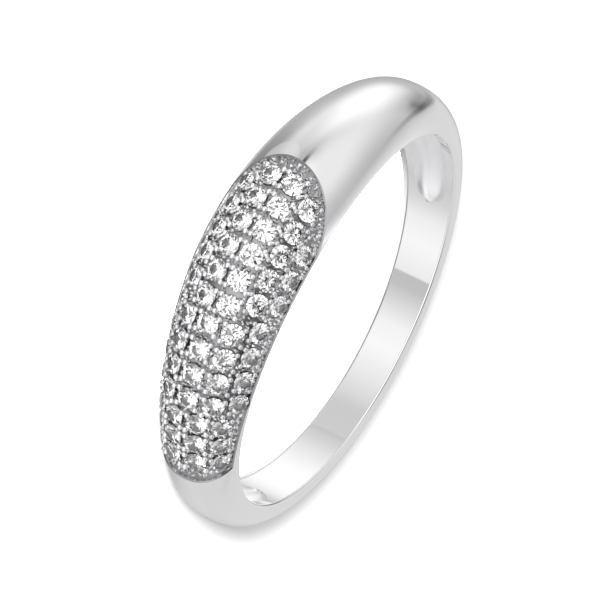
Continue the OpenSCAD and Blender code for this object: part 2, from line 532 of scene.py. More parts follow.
@dataclass
class RingBand:
    """The cast band: dome, finger hole, hollow under the head, recess and seats."""

    form: DomeForm
    plan: FieldPlan
    around: int = 240
    over: int = 56
    across_bore: int = 16
    bend_weight: float = 0.9
    rim_round: float = 0.11
    hollow_reach: float = 123.5
    hollow_land: float = 0.37
    hollow_share: float = 0.40
    # the hollow's tool starts inside the hole, and its width and depth fade out over these degrees
    hollow_sunk: float = 0.4
    hollow_widen: float = 1.03
    width_run: float = 6.0
    depth_run: float = 15.0
    middle_run: float = 16.0
    seat_gap: float = 0.03
    edge_cut: float = 0.05
    field_points: int = 44
    recess_top: float = 0.6
    # painted shade: narrow cuts beside the grains that put dark bars where the grains' sides are in shade;
    # size, drop, distance from the crest and from the stones in degrees
    shade_slot_size: tuple[float, float, float] = (0.27, 0.075, 0.7)
    shade_slot_drop: float = 0.2
    shade_slot_off: float = 1.0
    shade_slot_lean: tuple[float, float] = (1.95, -1.8)
    # the seat's bearing, and the drilled hole under it as shares of the stone
    bearing_depth: float = 0.64
    bearing_middle: float = 0.28
    bearing_low: float = 0.04
    cone_share: float = 0.30
    drill_share: float = 0.20
    drill_radius: float = 0.22

    def blank(self) -> Piece:
        """Return the dome as a torus whose sections are drawn out to the band's own."""
        Bench.clear()
        bpy.ops.mesh.primitive_torus_add(
            major_segments=self.around, minor_segments=self.over + self.across_bore,
            major_radius=self.form.finger_r + 1, minor_radius=1.0)
        ring = bpy.context.object
        ring.name = "band"
        # no operator changes a section's roundness all the way round, so its points are placed
        # by the section's own rule
        rows = []
        for i in range(self.around):
            v = ring.data.vertices[i * (self.over + self.across_bore)].co
            rows.append(self.section_loop(math.atan2(v.x, -v.y)))
        ring.data.vertices.foreach_set("co", np.concatenate(rows).ravel())
        ring.data.update()
        self.round_rims(ring)
        return ring

    def section_loop(self, f: float) -> Array:
        """Return one section's points, from the crest over the upper rim and the bore."""
        fine = np.linspace(0.0, 1.0, 1201)
        p = self.form.point(np.full_like(fine, f), fine)
        step = np.diff(p, axis=0)
        run = np.linalg.norm(step, axis=1)
        way = step / run[:, None]
        bend = np.arccos(np.clip((way[1:] * way[:-1]).sum(1), -1, 1))
        bend = np.concatenate([[0.0], bend])
        gauge = np.concatenate([[0.0], np.cumsum(run + self.bend_weight * bend)])
        gauge /= gauge[-1]
        half = self.over // 2
        u = np.interp(np.linspace(0.0, 1.0, self.over + 1), gauge, fine)
        dome = self.form.point(np.full_like(u, f), u)
        w = float(self.form.round_ring(self.form.half_width, np.array(f)))
        z = w - 2 * w * np.arange(1, self.across_bore) / self.across_bore
        bore = self.form.around(np.full_like(z, f), np.full_like(z, self.form.finger_r), z)
        return np.concatenate([dome[half::-1], bore, dome[:half:-1]])

    def round_rims(self, ring: Piece) -> None:
        """Bevel the two rims to the small round that polishing leaves."""
        count = self.over + self.across_bore
        rims = {self.over // 2, self.over // 2 + self.across_bore}
        Bench.take(ring)
        with Bench.edit():
            mesh = Bench.unpick(ring)
            for edge in mesh.edges:
                a, b = (v.index for v in edge.verts)
                if a % count == b % count and a % count in rims:
                    edge.select = True
            bmesh.update_edit_mesh(ring.data)
            bpy.ops.mesh.bevel(offset=self.rim_round, segments=3, profile=0.5, clamp_overlap=True)

    def hollow_end(self, angle: float, run: float) -> float:
        """Return 1 along the hollow, falling to 0 as a quarter ellipse over its last degrees."""
        past = max(0.0, (abs(angle) - self.hollow_reach + run) / run)
        return math.sqrt(max(0.0, 1 - past * past))

    def hollow_loop(self, angle: float, n: int = 48) -> tuple[Array, Array]:
        """Return the radii and heights of the hollow's section.

        Args:
            angle: Degrees round the ring.
            n: The number of points.
        """
        form, f = self.form, np.array(math.radians(angle))
        land = self.hollow_land * (1 + math.cos(f / 2) ** 4)
        w = self.hollow_widen * (float(form.round_ring(form.half_width, f)) - land)
        w *= self.hollow_end(angle, self.width_run)
        h = self.hollow_share * float(form.round_ring(form.rise, f)) * self.hollow_end(angle, self.depth_run)
        across = -np.cos(np.linspace(0.0, np.pi, n))
        arch = np.maximum(0.0, 1 - np.abs(across) ** 3) ** 0.5
        return form.finger_r - self.hollow_sunk + (h + self.hollow_sunk) * arch, w * across

    def hollow(self) -> Piece:
        """Return the tool that hollows the head out from the finger hole's side."""
        ends = [self.hollow_reach - a for a in HOLLOW_ENDS]
        run = self.hollow_reach - self.middle_run
        angles = [-a for a in reversed(ends)] + list(np.linspace(-run, run, 109)) + ends
        return Bench.loft("hollow", [self.form.around(math.radians(a), *self.hollow_loop(a)) for a in angles])

    def in_hollow(self, points: Array) -> Array:
        """Return which points lie on the hollow's surface, tried in slices of one degree."""
        f = np.degrees(np.arctan2(points[:, 0], -points[:, 1]))
        reach = np.hypot(points[:, 0], points[:, 1])
        off_bore = reach > self.form.finger_r + 0.001
        found = np.zeros(len(points), dtype=bool)
        last = int(self.hollow_reach)
        for angle in range(-last, last + 1):
            here = np.nonzero((np.abs(f - angle) <= 0.5) & off_bore)[0]
            r, z = self.hollow_loop(angle, 200)
            gap = np.hypot(reach[here, None] - r, points[here, 2, None] - z)
            found[here] = gap.min(axis=1) < HOLLOW_SKIN
        return found

    def field_line(self, part: float, grow: float, height: float) -> Array:
        """Return points across the stone field, on a line that bends with its ends.

        Args:
            part: Place along the field: 0 at the arch's tip, 1 at its foot and 2 at the far end.
            grow: Distance by which the field's outline is moved outwards, mm.
            height: Height over the dome, mm.
        """
        plan, form, n = self.plan, self.form, self.field_points
        grow_deg = math.degrees(grow / (form.finger_r + form.rise[0]))
        if part <= 1:
            angle = plan.start_deg + plan.arch_deg * (1 - math.cos(part * math.pi / 2))
        else:
            angle = plan.start_deg + plan.arch_deg
            angle += (part - 1) * (plan.end_deg - angle)
        half = plan.half(form, angle) + grow * min(1.0, 3 * part)
        angle += grow_deg * (max(0.0, part - 1) - max(0.0, 1 - part))
        line = []
        for j in range(n + 1):
            d = 1 - 2 * j / n
            g = math.radians(plan.swell(angle, d))
            p = form.point(np.array([g]), np.array([form.u_at(g, half * d)]))
            line.append((p + height * form.normal(p))[0])
        return np.array(line)

    def field_tool(self, name: str, low: float, grow: float, high: float) -> Piece:
        """Return a cutting tool over the whole stone field.

        Args:
            name: The tool's name.
            low: Height of its underside over the dome, mm.
            grow: Distance by which its top is larger than the field, mm.
            high: Height of its top over the dome, mm.
        """
        parts = [a / 90 for a in range(4, 91, 3)] + list(np.linspace(1, 2, 40)[1:])
        return Bench.loft(name, [np.concatenate([self.field_line(k, 0.0, low),
                                                 self.field_line(k, grow, high)[::-1]]) for k in parts])

    def recess(self) -> Piece:
        """Return the tool that sinks the stone field's floor under the dome."""
        return self.field_tool("recess", -self.plan.depth, 0.0, self.recess_top)

    def edge_cutter(self) -> Piece:
        """Return the tool that cuts a slope along the recess's upper edge."""
        return self.field_tool("edge", -self.edge_cut, 2 * self.edge_cut, self.edge_cut)

    def shade_slots(self) -> Piece:
        """Return the tool for the narrow cuts beside the grains of the middle rows, dark bars of painted
        shade for the grains' shaded sides.
        """
        Bench.clear()
        bpy.ops.mesh.primitive_cube_add(size=1.0, location=(0, 0, -self.shade_slot_drop))
        shade_slot = bpy.context.object
        shade_slot.name = "shade_slot"
        shade_slot.scale = self.shade_slot_size
        bpy.ops.object.transform_apply(location=True, scale=True)
        row = self.plan.rows[0]
        spots = [(row.first_deg + i * row.step_deg + lean, side * self.shade_slot_off)
                 for i in range(row.count) for side in (1, -1)
                 for lean in (self.shade_slot_lean[:1] if i % 2 else self.shade_slot_lean)]
        return Bench.copies(shade_slot, [self.form.seat_frame(angle, d) for angle, d in spots])

    def seats(self) -> Piece:
        """Return the tool that bores every stone's seat: a bearing with a drilled hole under it."""
        d = self.plan.stone
        Bench.clear()
        bpy.ops.mesh.primitive_cylinder_add(vertices=32, radius=d / 2 + self.seat_gap,
                                            depth=self.bearing_depth, location=(0, 0, self.bearing_middle))
        burr = bpy.context.object
        burr.name = "burr"
        bpy.ops.object.transform_apply(location=True)
        with Bench.edit():
            for reach in (self.cone_share * d - self.bearing_low, self.drill_share * d):
                mesh = Bench.unpick(burr)
                low = min(v.co.z for v in mesh.verts)
                wide = max(v.co.xy.length for v in mesh.verts if v.co.z < low + 1e-4)
                for face in mesh.faces:
                    if face.normal.z < -0.9 and face.calc_center_median().z < low + 1e-4:
                        face.select_set(True)
                bmesh.update_edit_mesh(burr.data)
                bpy.ops.mesh.extrude_region_move(TRANSFORM_OT_translate={"value": (0, 0, -reach)})
                k = self.drill_radius * d / wide
                bpy.ops.transform.resize(value=(k, k, 1), center_override=(0, 0, low - reach))
        return Bench.copies(burr, [place @ Matrix.Scale(size / d, 4) for place, size in self.places()])

    def places(self) -> list[tuple[Matrix, float]]:
        """Return the place of each stone's girdle and the stone's diameter."""
        sink = Matrix.Translation((0, 0, -self.plan.girdle_drop))
        return [(self.form.seat_frame(angle, d) @ sink, size) for angle, d, size in self.plan.stones()]

    @staticmethod
    def read(items: bpy.types.bpy_prop_collection, name: str, width: int = 3) -> Array:
        """Return one vector property of all items of a mesh."""
        values = np.empty(len(items) * width)
        items.foreach_get(name, values)
        return values.reshape(-1, width)

    def sort_faces(self, centre: Array, facing: Array) -> tuple[Array, Array, Array]:
        """Tell the cut band's faces apart.

        Args:
            centre: The faces' middles.
            facing: The faces' normals.

        Returns:
            The kind of each face, and which faces are left of the dome and of the finger hole.
        """
        form = self.form
        lean = (facing * form.normal(centre)).sum(1)
        reach = np.hypot(centre[:, 0], centre[:, 1])
        on_dome = (np.abs(form.level(centre) - 1) < SKIN) & (lean > SAME_WAY)
        inwards = -centre * [1, 1, 0] / reach[:, None]
        on_bore = (np.abs(reach - form.finger_r) < SKIN) & ((facing * inwards).sum(1) > SAME_WAY)
        f = np.degrees(np.arctan2(centre[:, 0], -centre[:, 1]))
        depth, apart = form.depth(centre), self.seat_distance(centre)
        scooped = self.in_hollow(centre) & ~on_bore & ~on_dome
        inside = ~on_dome & ~scooped & (depth > CUT_SKIN) & (reach - form.finger_r > BORE_SKIN)
        inside &= (f > FIELD_SPAN[0]) & (f < FIELD_SPAN[1])
        inside &= (depth < self.plan.depth + FLOOR_SKIN) | (apart < self.seat_gap + SEAT_SKIN)
        walls = inside & (lean < STEEP) & (apart > self.seat_gap + WALL_SKIN)
        finishes = [Face.BRIGHT_CUT.value, Face.SETTING.value, Face.SATIN.value]
        return np.select([walls, inside, scooped], finishes, Face.POLISHED.value), on_dome, on_bore

    def shade(self, ring: Piece) -> None:
        """Give the polished faces the true surface's normals, so cuts leave no mark in the shine.

        Args:
            ring: The cut band, still in millimetres and ring axes.
        """
        Bench.take(ring)
        bpy.ops.object.shade_smooth_by_angle(angle=math.radians(32))
        mesh = ring.data
        corner = self.read(mesh.corner_normals, "vector")
        points = self.read(mesh.vertices, "co")
        vert = self.read(mesh.loops, "vertex_index", 1).astype(int).ravel()
        sizes = self.read(mesh.polygons, "loop_total", 1).astype(int).ravel()
        of_face = np.repeat(np.arange(len(sizes)), sizes)
        kinds, on_dome, on_bore = self.sort_faces(
            self.read(mesh.polygons, "center"), self.read(mesh.polygons, "normal"))
        bore_n = -points * [1, 1, 0] / np.linalg.norm(points[:, :2], axis=1)[:, None]
        for mask, true_n in ((on_dome, self.form.normal(points)), (on_bore, bore_n)):
            take = mask[of_face]
            corner[take] = true_n[vert][take]
        mesh.polygons.foreach_set("material_index", kinds)
        corner /= np.maximum(np.linalg.norm(corner, axis=1, keepdims=True), 1e-9)
        mesh.normals_split_custom_set(corner)

    def seat_distance(self, points: Array) -> Array:
        """Return how far points lie outside the nearest stone's girdle, measured across its axis."""
        least = np.full(len(points), 9.0)
        for place, size in self.places():
            at, axis = np.array(place.translation), np.array(place.col[2][:3])
            step = points - at
            step -= (step @ axis)[:, None] * axis
            least = np.minimum(least, np.linalg.norm(step, axis=1) - size / 2)
        return least

    def build(self) -> Piece:
        """Return the finished band in ring axes."""
        ring = self.blank()
        for tool in (self.hollow, self.recess, self.edge_cutter, self.seats, self.shade_slots):
            Bench.cut(ring, tool())
        return ring

    def dress(self, ring: Piece) -> None:
        """Give the band its finishes and lay it on the table."""
        Bench.paint(ring, PolishedMetal(), SettingMetal(),
                    SettingMetal("bright_cut_white_metal", 0.66, 0.03, 0.14, 11000.0, 0.8),
                    SettingMetal("satin_white_metal", 0.90, 0.36, 0.50, 2600.0, 0.05))
        self.shade(ring)
        Bench.hand_in(ring, "white_metal", "ring_band")


# ---- the stones


@dataclass
class PaveStones:
    """The field's round brilliants, each with 57 facets."""

    band: RingBand
    table: float = 0.275
    crown: float = 0.145
    girdle: float = 0.015
    pavilion: float = 0.43
    star_reach: float = 0.377
    low_reach: float = 0.115
    turn_deg: float = 137.5

    def polar(self, r: float, angle: float, z: float) -> Vector:
        """Return a point of the stone from its radius, angle in degrees and height."""
        a = math.radians(angle)
        return Vector((r * math.cos(a), r * math.sin(a), z))

    def planes(self) -> list[tuple[Vector, Vector]]:
        """Return a point and an outward direction for each facet's plane."""
        g, e = 0.5, self.girdle
        slope = (self.crown - e) / (g - self.table)
        tip_z = e + (g - self.star_reach * math.cos(math.radians(22.5))) * slope
        deep = (self.pavilion - e) / g
        low_z = -self.pavilion + deep * self.low_reach * math.cos(math.radians(22.5))
        made = [(Vector((0, 0, self.crown)), Vector((0, 0, 1)))]
        for k in range(8):
            a = 45.0 * k
            made.append((self.polar(g, a, e), self.polar(slope, a, 1.0)))
            made.append((self.polar(g, a, -e), self.polar(deep, a, -1.0)))
            corners = [self.polar(self.table, a, self.crown), self.polar(self.table, a + 45, self.crown),
                       self.polar(self.star_reach, a + 22.5, tip_z)]
            made.append((corners[0], self.facing(corners)))
            for side in (0.0, 22.5):
                upper = [self.polar(g, a + side, e), self.polar(g, a + side + 22.5, e),
                         self.polar(self.star_reach, a + 22.5, tip_z)]
                lower = [self.polar(g, a + side, -e), self.polar(g, a + side + 22.5, -e),
                         self.polar(self.low_reach, a + 22.5, low_z)]
                made.append((upper[0], self.facing(upper)))
                made.append((lower[0], self.facing(lower)))
        return made

    @staticmethod
    def facing(corners: list[Vector]) -> Vector:
        """Return the direction, away from the stone's axis, in which a plane faces."""
        n = (corners[1] - corners[0]).cross(corners[2] - corners[0])
        return n if n.dot(corners[0]) > 0 else -n

    def master(self) -> Piece:
        """Return one stone, cut facet by facet from a round blank."""
        Bench.clear()
        bpy.ops.mesh.primitive_cylinder_add(vertices=48, radius=0.5, depth=1.2)
        stone = bpy.context.object
        stone.name = "pave_brilliants"
        with Bench.edit():
            for co, no in self.planes():
                bpy.ops.mesh.bisect(plane_co=co, plane_no=no, use_fill=True, clear_outer=True, threshold=1e-6)
                bpy.ops.mesh.select_all(action="SELECT")
            bpy.ops.mesh.remove_doubles(threshold=1e-4)
            bpy.ops.mesh.normals_make_consistent(inside=False)
        return stone

    def build(self) -> Piece:
        """Return all stones in ring axes, each turned a little differently in its seat."""
        places = []
        for i, (place, size) in enumerate(self.band.places()):
            turn = Matrix.Rotation(math.radians(i * self.turn_deg), 4, "Z")
            places.append(place @ turn @ Matrix.Scale(size, 4))
        return Bench.copies(self.master(), places)

    def dress(self, stones: Piece) -> None:
        """Give the stones their finish and lay them on the table."""
        Bench.paint(stones, CutStone())
        Bench.hand_in(stones, "clear_stone", "pave_stones")


@dataclass
class SettingGrains:
    """The round grains that hold each stone at four corners, and the bows that join close pairs."""

    band: RingBand
    radius: float = 0.135
    off_across: float = 0.465
    off_along: float = 0.385
    sink: float = 0.055
    post: float = 1.6
    bow_radius: float = 0.105
    bow_waist: float = 0.86
    joined: tuple[float, float] = (0.05, 0.37)
    from_edge: float = 0.11
    from_tip: float = 1.2
    least_half: float = 0.2
    arch_end: float = 20.0
    # near the rims the grains are worked down flush with the dome
    flush: float = 0.075
    flush_from: float = 1.9
    flush_run: float = 0.5
    # painted light: grains farther than this from the crest along the ring's axis take the darker, shaded
    # copy of their metal
    lit_grains_to: float = 1.17

    def spots(self) -> list[tuple[float, float, float]]:
        """Return each grain as its angle, its distance from the crest and its stone's share."""
        form, plan = self.band.form, self.band.plan
        found: list[tuple[float, float, float]] = []
        for angle, d, size in plan.stones():
            share = size / plan.stone
            f = math.radians(angle)
            r = float(form.radius_height(np.array(f), np.array(float(form.u_at(f, d))))[0])
            for along, across in product((-1, 1), repeat=2):
                a = angle + math.degrees(along * self.off_along * share / r)
                e = d + across * self.off_across * share
                half = plan.half(form, a) if a > plan.start_deg else 0.0
                if abs(e) > half - self.from_edge:
                    if angle > self.arch_end:
                        continue
                    e = math.copysign(half - self.from_edge, e)
                if a > plan.start_deg + self.from_tip and half > self.least_half:
                    found.append((a, e, share))
        return found

    def bows(self, places: list[Matrix]) -> list[Matrix]:
        """Return the places of the short bars between grains of the two wide middle rows.

        Args:
            places: The place of every grain.
        """
        inner, outer = (4 * 2 * row.count for row in self.band.plan.rows[:2])
        made = []
        for one, other in product(places[:inner], places[inner:inner + outer]):
            a, b = one.translation, other.translation
            gap = (b - a).length
            if self.joined[0] < gap < self.joined[1]:
                turn = (b - a).to_track_quat("Z", "Y").to_matrix().to_4x4()
                made.append(Matrix.Translation((a + b) / 2) @ turn @ Matrix.Diagonal((1, 1, gap, 1)))
        return made

    def master(self) -> Piece:
        """Return one grain: a ball drawn out downwards into a short post."""
        Bench.clear()
        bpy.ops.mesh.primitive_uv_sphere_add(segments=10, ring_count=7, radius=self.radius)
        grain = bpy.context.object
        grain.name = "setting_grains"
        for v in grain.data.vertices:
            if v.co.z < -1e-4:
                v.co.z *= self.post
        Bench.take(grain)
        bpy.ops.object.shade_smooth()
        return grain

    def bar(self) -> Piece:
        """Return one bow of unit length, its middle drawn in a little."""
        Bench.clear()
        bpy.ops.mesh.primitive_cylinder_add(vertices=12, radius=self.bow_radius, depth=1.0)
        bar = bpy.context.object
        bar.name = "grain_bows"
        with Bench.edit():
            bpy.ops.mesh.bisect(plane_co=(0, 0, 0), plane_no=(0, 0, 1))
            bpy.ops.transform.resize(value=(self.bow_waist, self.bow_waist, 1), center_override=(0, 0, 0))
        bpy.ops.object.shade_smooth_by_angle(angle=math.radians(50))
        return bar

    def build(self) -> Piece:
        """Return all grains and bows in ring axes."""
        places = []
        for a, d, share in self.spots():
            worked = self.flush * min(1.0, max(0.0, (abs(d) - self.flush_from) / self.flush_run))
            places.append(self.band.form.seat_frame(a, d) @ Matrix.Translation((0, 0, -worked))
                          @ Matrix.Translation((0, 0, -self.sink)) @ Matrix.Scale(share, 4))
        grains = Bench.copies(self.master(), places)
        bars = Bench.copies(self.bar(), self.bows(places))
        Bench.take(grains, bars)
        bpy.ops.object.join()
        return grains

    def dress(self, grains: Piece) -> None:
        """Give the grains their finish as painted light, a lit copy between the middle rows and a darker
        shaded copy towards the rims, and lay them on the table.
        """
        # painted light: a lit, brighter copy of the grains' metal for the middle rows and a shaded, darker
        # copy for the rows towards the rims
        Bench.paint(grains, PolishedMetal("grain_white_metal", 0.93, 0.14, 0.22),
                    PolishedMetal("shaded_outer_grain_white_metal", 0.66, 0.12, 0.20))
        centre = RingBand.read(grains.data.polygons, "center")
        kind = (np.abs(centre[:, 2]) > self.lit_grains_to).astype(np.int32)
        grains.data.polygons.foreach_set("material_index", kind)
        Bench.hand_in(grains, "white_metal")


@dataclass
class GraverMarks:
    """The small cut marks that the graver leaves on the floor beside the stones."""

    band: RingBand
    radius: float = 0.13
    tip_radius: float = 0.035
    height: float = 0.11
    bevel: float = 0.01
    raised: float = 0.3
    # how the marks differ: the turn between two of them, their tilt, mean size, its spread, flatness
    turn: float = 2.399963
    tilt: float = 0.6
    size: float = 0.85
    spread: float = 0.3
    flat: float = 0.75
    pitch: float = 0.185
    first_deg: float = 0.5
    shaken_along: float = 0.3
    shaken_across: float = 0.05
    clear: float = 0.055
    edge: float = 0.03

    def spots(self) -> list[tuple[float, float]]:
        """Return the angle and the distance from the crest of each mark, clear of the stones."""
        form, plan = self.band.form, self.band.plan
        step = math.degrees(self.pitch / (form.finger_r + form.rise[0]))
        angles, offsets, points = [], [], []
        for k in range(int((plan.end_deg - plan.start_deg) / step)):
            angle = plan.start_deg + self.first_deg + k * step
            half = plan.half(form, angle) - self.edge
            if half <= 0:
                continue
            count = max(1, int(2 * half / self.pitch))
            d = np.linspace(-half, half, count + 1) if count > 1 else np.zeros(1)
            # the lines are shifted and shaken a little, so that they don't read as a grid
            shift = self.shaken_across * np.sin(7.3 * k + 2.1 * np.arange(len(d)))
            d = np.clip(d + shift, -half, half)
            swelled = [plan.swell(angle, e / half) for e in d]
            u = form.u_at(math.radians(angle), d)
            points.append(form.point(np.array([math.radians(a) for a in swelled]), u))
            angles += [a + self.shaken_along * step * math.sin(3.7 * k + 1.9 * j)
                       for j, a in enumerate(swelled)]
            offsets += d.tolist()
        free = self.band.seat_distance(np.concatenate(points)) > self.clear
        return [(a, d) for a, d, ok in zip(angles, offsets, free) if ok]

    def build(self) -> Piece:
        """Return all marks in ring axes."""
        Bench.clear()
        bpy.ops.mesh.primitive_cone_add(vertices=5, radius1=self.radius, radius2=self.tip_radius,
                                        depth=self.height)
        mark = bpy.context.object
        mark.name = "graver_marks"
        with Bench.edit():
            bpy.ops.mesh.bevel(offset=self.bevel, segments=1)
        floor = Matrix.Translation((0, 0, -self.band.plan.depth + self.raised * self.height))
        places = []
        for i, (angle, d) in enumerate(self.spots()):
            size = self.size + self.spread * math.sin(i * 2.9)
            places.append(self.band.form.seat_frame(angle, d) @ floor
                          @ Matrix.Rotation(i * self.turn, 4, "Z")
                          @ Matrix.Rotation(self.tilt * math.sin(i * 1.7), 4, "X")
                          @ Matrix.Diagonal((size, self.flat * size, 1.0, 1.0)))
        return Bench.copies(mark, places)

    def dress(self, marks: Piece) -> None:
        """Give the marks their finish and lay them on the table."""
        Bench.paint(marks, SettingMetal("cut_mark_white_metal", 0.66, 0.06, 0.18, 9000.0, 0.5))
        Bench.hand_in(marks, "white_metal")


# ---- the studio


@dataclass(frozen=True)
class SoftPanel:
    """One soft-edged panel of the tent, bright or dark. Angles are in degrees."""

    azimuth: float
    height: float
    half_width: float
    half_height: float
    soft_width: float
    soft_height: float
    lean: float
    brightness: float
    strength: float


# Brightness of the tent in front, by azimuth, above and below the table's edge, and by height
FRONT_HIGH = ((-180, 1.3), (-140, 1.3), (-120, 1.6), (-60, 1.65), (-20, 1.4), (0, 1.0), (25, 0.85),
              (180, 0.85))
FRONT_LOW = ((-180, 0.70), (-147, 0.62), (-136, 0.60), (-115, 0.80), (-95, 1.05), (-78, 1.22),
             (-64, 1.15), (-50, 0.85), (-42, 0.68), (-34.5, 0.66), (-33.9, 1.08), (-15, 1.20),
             (2, 1.10), (16, 0.85), (30, 0.76), (180, 0.78))
FRONT_HEIGHT = ((-90, 0.30), (-62, 0.36), (-54, 0.44), (-47, 0.62), (-40, 0.86), (-32, 0.98), (-20, 1.0),
                (20, 0.98), (36, 0.92), (44, 0.60), (50, 0.14), (70, 0.12), (78, 0.60), (90, 0.60))
# What is left of the light in the gap at the height of the table's far edge, by azimuth
TABLE_GAP = ((-180, 1.0), (-146, 1.0), (-141, 0.75), (-137, 0.2), (-130, 0.15), (-120, 0.6), (-110, 1.0),
             (180, 1.0))
# The tent behind the ring: its brightness by height, the broad panel on the left and the others on it
BACK_HEIGHT = ((-90, 0.16), (-58, 0.20), (-48, 0.44), (-36, 0.36), (-20, 0.33), (0, 0.30), (20, 0.63),
               (40, 0.60), (55, 0.64), (90, 0.64))
LEFT_PANEL = 0.83
BACK_PANELS = (
    SoftPanel(175, -12, 26, 23, 18, 17, 0.7, 1.8, 0.78),
    SoftPanel(-165, 2, 41, 59, 30, 17, 0.4, 1.26, 0.68),
    SoftPanel(134, 5, 3, 16, 2, 21, 0.3, 0.28, 1.0),
    SoftPanel(139, 9, 7, 4, 4, 6, 0.0, 0.0, 0.52),
    SoftPanel(119, 47, 7, 27, 5, 5, 1.7, 0.61, 0.21),
    SoftPanel(-138, -1, 22, 14, 22, 17, -1.3, 0.07, 0.34),
    SoftPanel(119, 45, 3, 26, 9, 16, 0.2, 1.43, 0.9),
    SoftPanel(104, -32, 14, 20, 10, 7, 0.0, 0.78, 0.97),
    SoftPanel(132, -34, 29, 19, 26, 15, -1.3, 0.04, 0.38),
)
# The brightness by height of the white card that hangs low on the camera's left
CARD_HEIGHT = ((-90, 0.50), (-60, 0.68), (-52, 0.81), (-46, 0.89), (-38, 0.92), (-28, 0.90),
               (-20, 0.80), (-14, 0.72), (-9, 0.5), (-6, 0.0))


class TentBench:
    """Wires up the world's nodes. Its tools take sockets or plain numbers."""

    def __init__(self) -> None:
        """Start the world's nodes and find every direction's azimuth and height in degrees."""
        world = bpy.data.worlds.new("tent")
        bpy.context.scene.world = world
        world.use_nodes = True
        self.nodes, self.links = world.node_tree.nodes, world.node_tree.links
        self.way = self.nodes.new("ShaderNodeTexCoord").outputs["Generated"]
        split = self.nodes.new("ShaderNodeSeparateXYZ")
        self.feed(split.inputs["Vector"], self.way)
        x, y, z = (split.outputs[axis] for axis in "XYZ")
        self.high = self.times(self.maths("ARCSINE", z), 180 / math.pi)
        self.turn = self.times(self.maths("ARCTAN2", y, x), 180 / math.pi)

    def feed(self, socket: Socket, value: object) -> None:
        """Link a socket, or set it to a number, which is a grey where it takes a colour."""
        if isinstance(value, (int, float)):
            socket.default_value = (value, value, value, 1.0) if socket.type == "RGBA" else value
        else:
            self.links.new(value, socket)

    def maths(self, kind: str, *values: object) -> Socket:
        """Add a maths node and return its output."""
        node = self.nodes.new("ShaderNodeMath")
        node.operation = kind
        for socket, value in zip(node.inputs, values):
            self.feed(socket, value)
        return node.outputs["Value"]

    def times(self, first: object, second: object) -> Socket:
        """Return the product of two values."""
        return self.maths("MULTIPLY", first, second)

    def apart(self, first: object, second: object) -> Socket:
        """Return how far two values lie from each other."""
        return self.maths("ABSOLUTE", self.maths("SUBTRACT", first, second))

    def mix(self, kind: str, factor: object, *colours: object) -> Socket:
        """Add a mix of two colours and return its output."""
        node = self.nodes.new("ShaderNodeMix")
        node.data_type = "RGBA"
        node.blend_type = kind
        self.feed(node.inputs["Factor"], factor)
        for socket, colour in zip((s for s in node.inputs if s.type == "RGBA"), colours):
            self.feed(socket, colour)
        return next(s for s in node.outputs if s.type == "RGBA")

    def smooth(self, value: object, start: float, stop: float) -> Socket:
        """Add a smooth step from 0 at start to 1 at stop and return its output."""
        node = self.nodes.new("ShaderNodeMapRange")
        node.interpolation_type = "SMOOTHSTEP"
        for name, given in (("Value", value), ("From Min", start), ("From Max", stop)):
            self.feed(node.inputs[name], given)
        return node.outputs["Result"]

    def grey(self, angle: Socket, stops: Stops, reach: float) -> Socket:
        """Add a ramp of greys over an angle.

        Args:
            angle: The angle in degrees.
            stops: Pairs of an angle and a brightness.
            reach: The angle at the ramp's end, which starts at its negative.

        Returns:
            The ramp's colour.
        """
        node = self.nodes.new("ShaderNodeValToRGB")
        elements = node.color_ramp.elements
        while len(elements) < len(stops):
            elements.new(0.5)
        for element, (at, value) in zip(elements, stops):
            element.position = (at + reach) / (2 * reach)
            element.color = (value, value, value, 1.0)
        self.feed(node.inputs["Fac"], self.maths("MULTIPLY_ADD", angle, 1 / (2 * reach), 0.5))
        return node.outputs["Color"]

    def off(self, azimuth: float, lean: float = 0.0, level: float = 0.0) -> Socket:
        """Return how far a direction lies beside a line.

        Args:
            azimuth: Where the line is.
            lean: How much it leans with the height.
            level: The height at which it has its azimuth.
        """
        beside = self.maths("SUBTRACT", self.turn, azimuth)
        if lean:
            shift = self.times(self.maths("SUBTRACT", self.high, level), lean)
            beside = self.maths("SUBTRACT", beside, shift)
        return self.maths("WRAP", beside, 180.0, -180.0)


